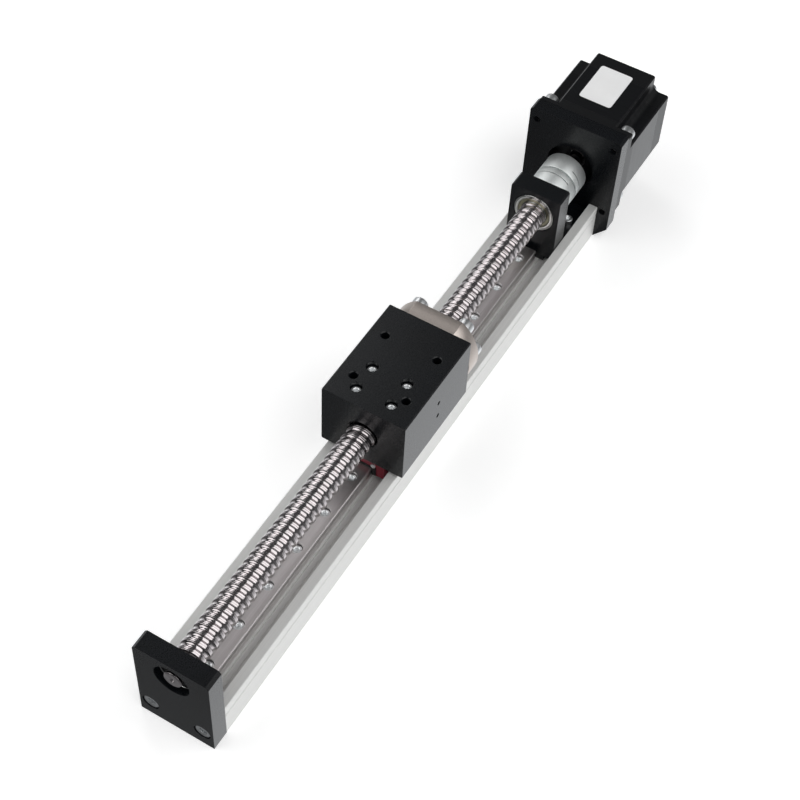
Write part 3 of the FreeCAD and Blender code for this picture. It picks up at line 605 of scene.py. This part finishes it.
def ring(name, outer, inner, y0, y1, edge):
    """An open tube whose wall is grown inwards and whose rims are rounded."""
    let_go()
    bpy.ops.mesh.primitive_cylinder_add(
        vertices=RING_SIDES, radius=outer * MM, depth=(y1 - y0) * MM, end_fill_type="NOTHING",
        location=place(0, (y0 + y1) / 2, AXIS), rotation=ALONG_Y)
    piece = named(name)
    modify(piece, "SOLIDIFY", thickness=(outer - inner) * MM, offset=-1)
    round_edges(piece, edge)
    smooth(piece)
    return piece


print("sides of a ring:", RING_SIDES)

# %% [markdown]
# In use the outer ring and the shields stay with the housing, and the inner ring turns with the
# screw. So a bearing is three pieces on two bodies. The idler end has a black rubber seal, and the
# fixed end a steel shield and a thicker outer ring.

# %% Shields and whole bearings
BEAD_SHARE = 0.3
BEAD_RISE = 0.15
SHIELD_INSET = 0.3
SHIELD_THICK = 0.5
SHIELD_GAP = 0.3
INNER_WALL = 1.6
PLAY = 0.05


def shield(name, outer, inner, y0, y1, facing):
    """A thin pressed ring; its outer part stands proud on the side that faces out."""
    piece = ring(name, outer, inner, y0, y1, edge=0.08)
    bead_inner = outer - (outer - inner) * BEAD_SHARE
    bead = ring(name + "_bead", outer - PLAY, bead_inner, y0, y1, edge=0.15)
    bead.data.transform(Matrix.Translation(place(0, facing * BEAD_RISE, 0)))
    return join(name, [piece, bead])


def bearing(name, outer, bore, y0, y1, shield_slot, wall):
    outside = outer - wall
    inside = bore + INNER_WALL
    dress(ring(name + "_outer", outer, outside, y0, y1, edge=0.35), "base", "bearing_steel",
          name + "_bearing_outer_ring")
    dress(ring(name + "_inner", inside, bore + PLAY, y0, y1, edge=0.25), "screw",
          "bearing_steel", name + "_bearing_inner_ring")
    sides = ((y0 + SHIELD_INSET, -1), (y1 - (SHIELD_INSET + SHIELD_THICK), 1))
    plates = [shield(name + "_shield", outside - PLAY, inside + SHIELD_GAP, low,
                     low + SHIELD_THICK, facing) for low, facing in sides]
    dress(join(name + "_shields", plates), "base", shield_slot, name + "_bearing_shields")


bearing("idler", outer=11.0, bore=5.0, y0=FRONT - 6.0, y1=FRONT,
        shield_slot="black_rubber", wall=1.6)
bearing("fixed", outer=12.0, bore=6.0, y0=FIXED_Y0, y1=FIXED_Y0 + 6.0,
        shield_slot="shield_steel", wall=2.3)

# %% [markdown]
# ## Socket head screws
# Every screw here has a round head with a hexagon socket. The head is turned with a rounded top
# rim, and the socket is punched, with a small lead-in. One screw is modelled for each kind, and
# copies of it, each with a mesh of its own, go to its seats.

# %% One screw of a size
SCREW_SIZES = {
    "m5": {"head": 4.25, "tall": 5.0, "core": 2.0, "key": 4.0},
    "m3": {"head": 2.75, "tall": 3.0, "core": 1.2, "key": 2.5},
}
UP = Vector((0, 0, 1))


def screw_head(size):
    """A head with its underside at the origin, rounded at the top, with its socket cut."""
    of = SCREW_SIZES[size]
    let_go()
    bpy.ops.mesh.primitive_cylinder_add(vertices=48, radius=of["head"] * MM,
                                        depth=of["tall"] * MM, location=place(0, 0, of["tall"] / 2))
    head = named("head")
    pick(head, "FACE", lambda face: face.normal.z > 0.9)
    bpy.ops.mesh.bevel(offset=of["head"] * 0.12 * MM, segments=3, affect="EDGES")
    close_edit()
    let_go()
    bpy.ops.mesh.primitive_cylinder_add(vertices=6, radius=of["key"] / math.sqrt(3) * MM,
                                        depth=of["tall"] * MM, location=place(0, 0, of["tall"]))
    socket = named("socket")
    let_go()
    bpy.ops.mesh.primitive_cone_add(vertices=48, radius1=of["key"] * 0.4 * MM,
                                    radius2=of["key"] * 0.72 * MM, depth=of["key"] * 0.2 * MM,
                                    location=place(0, 0, of["tall"] - of["key"] * 0.09))
    cut(head, socket, named("lead_in"))
    return head


def screw_up(size, reach):
    """A screw standing head up, with the underside of its head at the origin."""
    head = screw_head(size)
    let_go()
    bpy.ops.mesh.primitive_cylinder_add(
        vertices=32, radius=SCREW_SIZES[size]["core"] * MM, depth=reach * MM,
        location=place(0, 0, -reach / 2 + 0.01))
    shank = named("shank")
    round_edges(shank, 0.3, steps=1)
    screw = join("screw", [head, shank])
    smooth(screw, 30)
    return screw


def copy_to(piece, offset):
    twin = piece.copy()
    twin.data = piece.data.copy()
    bpy.context.scene.collection.objects.link(twin)
    twin.data.transform(Matrix.Translation(offset))
    return twin


def screws(name, size, reach, seats, outwards, body, node):
    """Copies one screw to each seat, head outwards, and joins the copies into one piece."""
    first = screw_up(size, reach)
    first.data.transform(UP.rotation_difference(Vector(outwards)).to_matrix().to_4x4())
    copies = [copy_to(first, place(*seat)) for seat in seats]
    bpy.data.objects.remove(first)
    dress(join(name, copies), body, "zinc_steel", node)


print("screw sizes:", sorted(SCREW_SIZES))

# %% [markdown]
# The seats below are where each head's underside bears, the same as in the solids. They are worked
# out from the pitches and bolt circles that a drawing would give.

# %% Where the heads bear
FLANGE_Y0 = 28.5
FLANGE_Y1 = 38.5
FLANGE_BOLT_CIRCLE = 19.0
FLANGE_BOLT_ANGLES = (0, 45, 135, 180, 225, 315)
PORT_X, PORT_Z = 14.3, 10.3
RAIL_FIRST, RAIL_PITCH, RAIL_HOLES = 16, 25, 13
CARRIAGE_Y = -18.15


def square_about_screw(half, y):
    return [(across * half, y, AXIS + up * half) for across in (-1, 1) for up in (-1, 1)]


port_seats = [(x, FRONT - 4.65, PORT_Z) for x in (-PORT_X, PORT_X)]
rail_seats = [(0, FRONT + RAIL_FIRST + RAIL_PITCH * i, 15.5) for i in range(RAIL_HOLES)]
foot_seats = [(x, 170, 19.5) for x in (-10, 10)]
motor_seats = square_about_screw(half=23.57, y=200.0)
case_seats = square_about_screw(half=16.8, y=249.0)
flange_seats = [(FLANGE_BOLT_CIRCLE * math.cos(math.radians(angle)), FLANGE_Y1,
                 AXIS + FLANGE_BOLT_CIRCLE * math.sin(math.radians(angle)))
                for angle in FLANGE_BOLT_ANGLES]
slider_seats = [(x, CARRIAGE_Y + y, 59.2) for x in (-10, 10) for y in (-7.5, 7.5)]
print("seats on the rail:", len(rail_seats), "and on the flange:", len(flange_seats))

# %% [markdown]
# Each line below is one kind of screw: its size, how far its shank reaches, its seats, the way its
# head faces, the body it rides on and the solid it stands for.

# %% All the screws that show
TO_IDLER, TO_MOTOR, UPWARDS = (0, -1, 0), (0, 1, 0), (0, 0, 1)
screws("end_plate_cap_screws", "m5", 24, port_seats, TO_IDLER, "base", "end_plate_screws")
screws("rail_cap_screws", "m3", 9.4, rail_seats, UPWARDS, "base", "rail_screws")
screws("foot_cap_screws", "m3", 14.4, foot_seats, UPWARDS, "base", "bearing_block_screws")
screws("motor_cap_screws", "m5", 10.9, motor_seats, TO_MOTOR, "base", "motor_screws")
screws("motor_case_cap_screws", "m3", 48.9, case_seats, TO_MOTOR, "base", "motor_case_screws")
screws("flange_cap_screws", "m5", 20, flange_seats, TO_MOTOR, "slider", "nut_screws")
screws("slider_cap_screws", "m3", 37.3, slider_seats, UPWARDS, "slider", "slider_screws")

# %% [markdown]
# ## The coupling
# The coupling is one bead-blasted aluminium bar with a groove round its middle. Each half clamps
# its shaft: a saw cut goes two thirds through the bar, a second cut along it opens the bore, and a
# screw pulls that gap shut. Each half is bored and cut as a hub of its own, with the thinner web of
# the groove between the two, because short plain cuts stay clean. A hub's clamp is cut on the right
# and then turned about the screw to where it sits.

# %% Tools for the saw cuts
def slab(name, x0, x1, y0, y1, z0, z1):
    """A block given by its faces, for milled cuts."""
    let_go()
    middle = place((x0 + x1) / 2, (y0 + y1) / 2, (z0 + z1) / 2)
    bpy.ops.mesh.primitive_cube_add(size=1, location=middle)
    bpy.context.object.scale = place(x1 - x0, y1 - y0, z1 - z0)
    return named(name)


def turn_about_screw(piece, degrees):
    spot = place(0, 0, AXIS)
    turn = Matrix.Rotation(math.radians(degrees), 4, "Y")
    piece.data.transform(Matrix.Translation(spot) @ turn @ Matrix.Translation(-spot))
    return piece


COUPLING_Y = 168.7
print("coupling's middle at y", COUPLING_Y)

# %% [markdown]
# A saw cut that stops short of the far side leaves a hinge, so the outer part of the hub can close
# on its shaft. The clamp's screw passes to one side of the shaft, and its head sits in a round seat
# that an end mill sinks into the bar. The two hubs' screws are put in from opposite sides.

# %% One hub, bored and cut for its clamp
COUPLING_RADIUS = 12.5
COUPLING_HALF = 12.5
COUPLING_SIDES = 160
HUB_START = 0.4
SAW_CUT = (4.15, 4.65)
SAW_REACH = -3.8
GAP_START = 4.4
GAP_HALF = 0.25
CLEAR = 13
CLAMP_X = 8
CLAMP_Y = 8.6
SEAT_RADIUS = 3.1
SEAT_LONG = 10
SEAT_DEEP = 3.2


def clamp_hub(side, bore, turn):
    """Side is -1 towards the ball screw and 1 towards the motor."""
    def span(near, far):
        return sorted((COUPLING_Y + side * near, COUPLING_Y + side * far))

    hub = rod("hub", COUPLING_RADIUS, *span(HUB_START, COUPLING_HALF), sides=COUPLING_SIDES)
    round_edges(hub, 0.35, angle=50)
    bore_tool = rod("hub_bore", bore, *span(-1, CLEAR + 1))
    saw_cut = slab("saw_cut", SAW_REACH, CLEAR, *span(*SAW_CUT), AXIS - CLEAR, AXIS + CLEAR)
    clamp_gap = slab("clamp_gap", 0, CLEAR, *span(GAP_START, CLEAR),
                     AXIS - GAP_HALF, AXIS + GAP_HALF)
    let_go()
    seat_middle = AXIS - side * (SEAT_DEEP + SEAT_LONG / 2)
    bpy.ops.mesh.primitive_cylinder_add(
        vertices=48, radius=SEAT_RADIUS * MM, depth=SEAT_LONG * MM,
        location=place(CLAMP_X, COUPLING_Y + side * CLAMP_Y, seat_middle))
    head_seat = named("head_seat")
    tools = [turn_about_screw(tool, turn) for tool in (saw_cut, clamp_gap, head_seat)]
    cut(hub, bore_tool, *tools)
    screw = screw_up("m3", 8.1)
    if side > 0:
        screw.data.transform(Matrix.Rotation(math.pi, 4, "X"))
    seat = place(CLAMP_X, COUPLING_Y + side * CLAMP_Y, AXIS - side * SEAT_DEEP)
    screw.data.transform(Matrix.Translation(seat))
    return hub, turn_about_screw(screw, turn)


print("coupling's length in mm:", 2 * COUPLING_HALF)

# %% [markdown]
# The ball screw's journal is 10 mm thick and the motor's shaft 8 mm, so the two bores differ. The
# clamps are turned to where the photograph shows their cuts, on opposite sides of the bar.

# %% Both hubs and the web between them
SCREW_BORE = 5.05
MOTOR_BORE = 4.05
WEB_RADIUS = 10.4
WEB_HALF = 0.6
front_hub, front_clamp_screw = clamp_hub(-1, SCREW_BORE, turn=-150)
rear_hub, rear_clamp_screw = clamp_hub(1, MOTOR_BORE, turn=52)
web = rod("coupling_web", WEB_RADIUS, COUPLING_Y - WEB_HALF, COUPLING_Y + WEB_HALF,
          sides=COUPLING_SIDES)
cut(web, rod("web_bore", SCREW_BORE, COUPLING_Y - 1, COUPLING_Y + 1))
coupling_bar = join("coupling_bar", [front_hub, rear_hub, web])
smooth(coupling_bar, 30)
dress(coupling_bar, "screw", "bare_aluminium", "coupling")
clamp_cap_screws = join("clamp_cap_screws", [front_clamp_screw, rear_clamp_screw])
dress(clamp_cap_screws, "screw", "zinc_steel", "coupling_screws")

# %% [markdown]
# ## The ball nut
# The nut is a hardened steel body with a flange whose top and bottom are milled flat, so that it
# clears the rail. Its edges are chamfered. The flats are made by bisecting the round flange, since
# a bisect with a fill leaves one clean face where a boolean would leave a fan of them.

# %% Flanged nut
FLANGE_RADIUS = 24
FLANGE_FLAT = 20
NUT_RADIUS = 14
NUT_BORE = 7.8
flange = rod("flange", FLANGE_RADIUS, FLANGE_Y0, FLANGE_Y1, sides=128)
for side in (-1, 1):
    pick(flange, "FACE", lambda face: True)
    bpy.ops.mesh.bisect(plane_co=place(0, 33, AXIS + side * FLANGE_FLAT), plane_no=(0, 0, side),
                        clear_outer=True, use_fill=True)
close_edit()
round_edges(flange, 0.5, steps=2, angle=50)
barrel = rod("nut_barrel", NUT_RADIUS, -6.5, FLANGE_Y0 + 0.2, sides=96)
cut(flange, rod("flange_bore", NUT_BORE, 27, 40, sides=96))
cut(barrel, rod("barrel_bore", NUT_BORE, -8, 30, sides=96))
flanged_nut = join("flanged_nut", [flange, barrel])
smooth(flanged_nut, 30)
dress(flanged_nut, "slider", "nickelled_steel", "ball_nut")

# %% [markdown]
# ## The motor's label
# The motor carries a small paper label with rounded corners. Here it is bare, as a label is before
# printing. It is a plane with its corners bevelled, raised by the paper's thickness.

# %% Bare label
LABEL_AT = (-1.35, 225.8, 72.72)
LABEL_WIDE = 19.7
LABEL_LONG = 29.6
LABEL_CORNER = 1.6
LABEL_THICK = 0.15
let_go()
bpy.ops.mesh.primitive_plane_add(size=1, location=place(*LABEL_AT))
bpy.context.object.scale = (LABEL_WIDE * MM, LABEL_LONG * MM, 1)
label = named("bare_label")
pick(label, "VERT", lambda point: True)
bpy.ops.mesh.bevel(offset=LABEL_CORNER * MM, segments=6, affect="VERTICES")
close_edit()
modify(label, "SOLIDIFY", thickness=LABEL_THICK * MM, offset=1)
smooth(label)
label.data.materials.clear()
label.data.materials.append(label_paper)
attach(label, "base")
print(label.name, "faces:", len(label.data.polygons))

# %% [markdown]
# ## The studio
# The photograph is a product shot on pure white, taken from the front right and well above, through
# a fairly long lens. The camera's place and turn were worked out from the module's straight edges,
# so they are written as two directions: the one it looks in, and the one to its right.

# %% Camera
CAMERA_AT = (252.2, -471.2, 726.6)
LOOKS = Vector((-0.28738, 0.53869, -0.79198))
RIGHT_HAND = Vector((0.85744, 0.51319, 0.03793))
camera = bpy.data.objects.new("camera", bpy.data.cameras.new("camera"))
bpy.context.scene.collection.objects.link(camera)
forward = LOOKS.normalized()
right = (RIGHT_HAND - forward * RIGHT_HAND.dot(forward)).normalized()
turned = Matrix((right, right.cross(forward), -forward)).transposed().to_4x4()
camera.matrix_world = Matrix.Translation(place(*CAMERA_AT)) @ turned
camera.data.sensor_width = 36
camera.data.lens = 77.6
camera.data.clip_end = 20
bpy.context.scene.camera = camera
print("camera at", [round(value, 3) for value in camera.location])

# %% [markdown]
# The background is white right up to the part's own soft shadow, as on a table lit from below. So
# the floor is pale and also gives off a little light of its own. It is far wider than the module,
# so that a view from low down still ends in floor.

# %% Floor
FLOOR_METRES = 40
floor_paint, floor_tree, floor_shader = new_finish(
    "backlit_pale_floor", 0.0, 0.85, "#f4f4f4",
    Emission_Color=linear("#ffffff"), Emission_Strength=0.42)
mottle = grain(floor_tree, (60, 60, 60))
drive(floor_shader, "Base Color", colour_between(floor_tree, mottle, "#f1f1f1", "#f6f6f6"))
let_go()
bpy.ops.mesh.primitive_plane_add(size=FLOOR_METRES, location=(0, 0, 0))
floor = named("floor")
floor.data.materials.append(floor_paint)
print("floor's width in metres:", FLOOR_METRES)

# %% [markdown]
# Three soft lights stand round the table. A long one on the right lies along the screw and draws
# the line of light on every turn of the thread. A small one behind on the left edges the black
# parts, and a large one in front on the left fills the shadows.

# %% Lights
def soft_light(name, where, look_at, size, power):
    lamp = bpy.data.lights.new(name, "AREA")
    lamp.shape = "RECTANGLE"
    lamp.size, lamp.size_y = size
    lamp.energy = power
    holder = bpy.data.objects.new(name, lamp)
    bpy.context.scene.collection.objects.link(holder)
    holder.location = where
    aim = Vector(look_at) - Vector(where)
    holder.rotation_mode = "QUATERNION"
    holder.rotation_quaternion = aim.to_track_quat("-Z", "Y")


soft_light("right_softbox", (1.25, -0.05, 1.5), (0, -0.05, 0.04), size=(3.3, 2.0), power=31)
soft_light("left_softbox", (-1.12, 0.97, 1.03), (0, 0, 0.04), size=(0.75, 1.3), power=5.5)
soft_light("fill_softbox", (-1.3, -0.9, 1.5), (0, 0, 0.04), size=(2.2, 2.0), power=20)
print("lights:", len(bpy.data.lights))

# %% [markdown]
# What polished metal shows is the room. The room is dark overhead and towards the front, and the
# table behind the module is bright, so the sides turned that way read light and the front faces
# read dark. A white floor would mirror in all of them alike. So the floor is left out of glossy
# reflections, as if it were cut away below the part, and the world's strength carries the room in
# its direction: more from below, none above the table's edge, and more from behind.

# %% Room seen in the metal
ROOM_DARK = 0.09
floor.visible_glossy = False
world = bpy.data.worlds.new("studio")
world.use_nodes = True
room = world.node_tree
direction = add_node(room, "ShaderNodeTexCoord").outputs["Generated"]
towards = add_node(room, "ShaderNodeSeparateXYZ", Vector=direction)
below = add_node(room, "ShaderNodeMapRange", {"interpolation_type": "SMOOTHSTEP"},
                 Value=towards.outputs["Z"], From_Min=0.0, From_Max=-0.9, To_Min=0.35, To_Max=1.3)
under = add_node(room, "ShaderNodeMapRange", Value=towards.outputs["Z"],
                 From_Min=0.0, From_Max=-0.03, To_Min=0.0, To_Max=1.0)
behind = add_node(room, "ShaderNodeMapRange", {"interpolation_type": "SMOOTHSTEP"},
                  Value=towards.outputs["Y"], From_Min=-0.3, From_Max=0.35, To_Min=0.08,
                  To_Max=1.0)
table = add_node(room, "ShaderNodeMath", {"operation": "MULTIPLY"},
                 i0=below.outputs["Result"], i1=under.outputs["Result"])
glow = add_node(room, "ShaderNodeMath", {"operation": "MULTIPLY_ADD"},
                i0=table.outputs["Value"], i1=behind.outputs["Result"], i2=ROOM_DARK)
backdrop = room.nodes["Background"]
backdrop.inputs["Color"].default_value = linear("#f2f4f6")
room.links.new(glow.outputs["Value"], backdrop.inputs["Strength"])
bpy.context.scene.world = world
bpy.context.scene.view_settings.view_transform = "Standard"
print("nodes in the room:", len(room.nodes))
